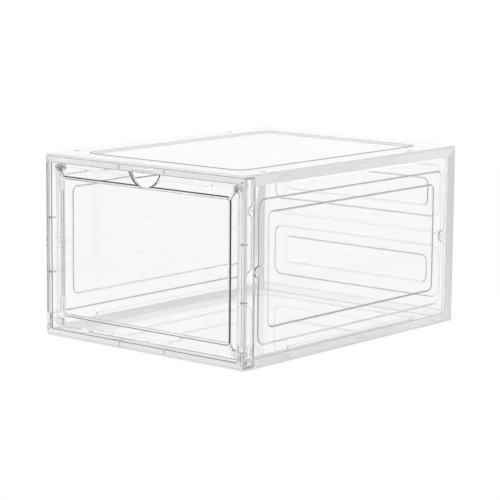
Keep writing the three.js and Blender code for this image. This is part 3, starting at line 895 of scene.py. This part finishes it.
coats = (painted_bead_shade, milky, milky, frost_and_painted_shade)
piece = plate(TOP, -1, True)
settle(piece, "top_plate", "shell", "top_panel", "clear_plate", hazed, frost_and_painted_shade, milky, *coats)
piece = plate(BOTTOM, 1, False)
settle(piece, "bottom_plate", "shell", "bottom_panel", "clear_plate", polished, frost_and_painted_shade, frost_and_painted_shade, *coats)
coats = (polished, frost_and_painted_shade, shaded, milky, painted_edge_shade)
for side, wall, rear in (("right", RIGHT, 1), ("left", LEFT, -1)):
    piece = finish(side_wall(wall, rear), wall, on_side_rail(rear), on_side_step, on_window, on_vent_rim)
    settle(piece, f"{side}_wall", "shell", f"{side}_side_panel", "clear_wall", *coats)
piece = finish(back_wall(), BACK, on_track_step)
settle(piece, "rear_wall", "shell", "back_panel", "clear_wall", polished, shaded)
piece = finish(front_frame(), FRONT, on_bar, on_rib, on_lip_edge, on_post)
settle(piece, "door_frame", "shell", "front_frame", "clear_frame", polished, milky, painted_edge_shade, shaded, frost_and_painted_shade)
piece = finish(front_door(), FRONT, on_door_outline, on_door_detail, on_mitre_side, on_notch_step)
settle(piece, "drop_door", "door", "front_door", "clear_door", polished, painted_edge_shade, shaded, painted_edge_shade, painted_edge_shade)
for side, sign in (("left", -1), ("right", 1)):
    where = (MAGNET_RADIUS, sign * MAGNET_U, MAGNET_V)
    door_w = (RIM_BACK, RIM_BACK + DOOR_MAGNET)
    frame_w = (LIP_FRONT - MAGNET_WALL - GAP - FRAME_MAGNET, LIP_FRONT - MAGNET_WALL - GAP)
    disc = finish(pillar(FRONT, *where, door_w, 0.3, 16), FRONT, on_disc_side)
    settle(disc, f"door_disc_{side}", "door", f"door_magnet_{side}", "magnet", plated, dark_rim_nickel)
    disc = finish(pillar(FRONT, *where, frame_w, 0.3, 16), FRONT, on_disc_side)
    settle(disc, f"frame_disc_{side}", "shell", f"frame_magnet_{side}", "magnet", plated, dark_rim_nickel)


# ---- studio ------------------------------------------------------------------------------

CAMERA_AT = Vector((1.4383, -1.7160, 0.4520))
CAMERA_YAW = math.radians(-40.08)               # of the view, from +Y towards +X
CAMERA_PITCH = math.radians(9.38)               # downwards
CAMERA_ROLL = math.radians(0.45)
CAMERA_LENS, CAMERA_SENSOR, CAMERA_END = 156.8, 36, 50
FLOOR_HALF, FLOOR_Z = 3, -0.0005
CEILING = 0.75                                  # brightness straight up, against 1 at the sides
CEILING_FROM, CEILING_TO = 0.3, 0.7             # heights on the unit sky between which it dims
DEEP_BOUNCES, GLOSSY_BOUNCES = 40, 12           # a ray crosses up to a dozen walls

scene = bpy.context.scene


def place_camera():
    data = bpy.data.cameras.new("camera")
    data.lens = CAMERA_LENS
    data.sensor_width = CAMERA_SENSOR
    data.clip_end = CAMERA_END
    camera = bpy.data.objects.new("camera", data)
    turn = Matrix.Rotation(-CAMERA_YAW, 4, "Z") @ Matrix.Rotation(math.pi / 2 - CAMERA_PITCH, 4, "X")
    camera.matrix_world = Matrix.Translation(CAMERA_AT) @ turn @ Matrix.Rotation(CAMERA_ROLL, 4, "Z")
    scene.collection.objects.link(camera)
    scene.camera = camera


def light_studio():
    """A white room all round, a little dimmer overhead."""
    world = bpy.data.worlds.new("studio")
    scene.world = world
    world.use_nodes = True
    sky = world.node_tree
    direction = sky.nodes.new("ShaderNodeTexCoord").outputs["Generated"]
    split = sky.nodes.new("ShaderNodeSeparateXYZ")
    sky.links.new(direction, split.inputs[0])
    ceiling = sky.nodes.new("ShaderNodeMapRange")
    ceiling.interpolation_type = "SMOOTHSTEP"
    ranges = (CEILING_FROM, CEILING_TO, 1.0, CEILING)
    for key, number in zip(("From Min", "From Max", "To Min", "To Max"), ranges):
        ceiling.inputs[key].default_value = number
    sky.links.new(split.outputs["Z"], ceiling.inputs["Value"])
    sky.links.new(ceiling.outputs["Result"], sky.nodes["Background"].inputs["Strength"])
    sky.nodes["Background"].inputs["Color"].default_value = (1, 1, 1, 1)


def lay_floor():
    """A plain white floor that glows, so that it shows no edge against the room."""
    bm = bmesh.new()
    corners = ((-1, -1), (1, -1), (1, 1), (-1, 1))
    bm.faces.new([bm.verts.new((FLOOR_HALF * i, FLOOR_HALF * j, FLOOR_Z)) for i, j in corners])
    data = bpy.data.meshes.new("floor")
    bm.to_mesh(data)
    bm.free()
    floor = bpy.data.objects.new("floor", data)
    scene.collection.objects.link(floor)
    material = bpy.data.materials.new("floor")
    material.use_nodes = True
    tree = material.node_tree
    glow = tree.nodes.new("ShaderNodeEmission")
    output = next(n for n in tree.nodes if n.type == "OUTPUT_MATERIAL")
    tree.links.new(glow.outputs[0], output.inputs["Surface"])
    data.materials.append(material)


place_camera()
light_studio()
lay_floor()
scene.view_settings.view_transform = "Standard"
scene.cycles.max_bounces = DEEP_BOUNCES
scene.cycles.transmission_bounces = DEEP_BOUNCES
scene.cycles.glossy_bounces = GLOSSY_BOUNCES
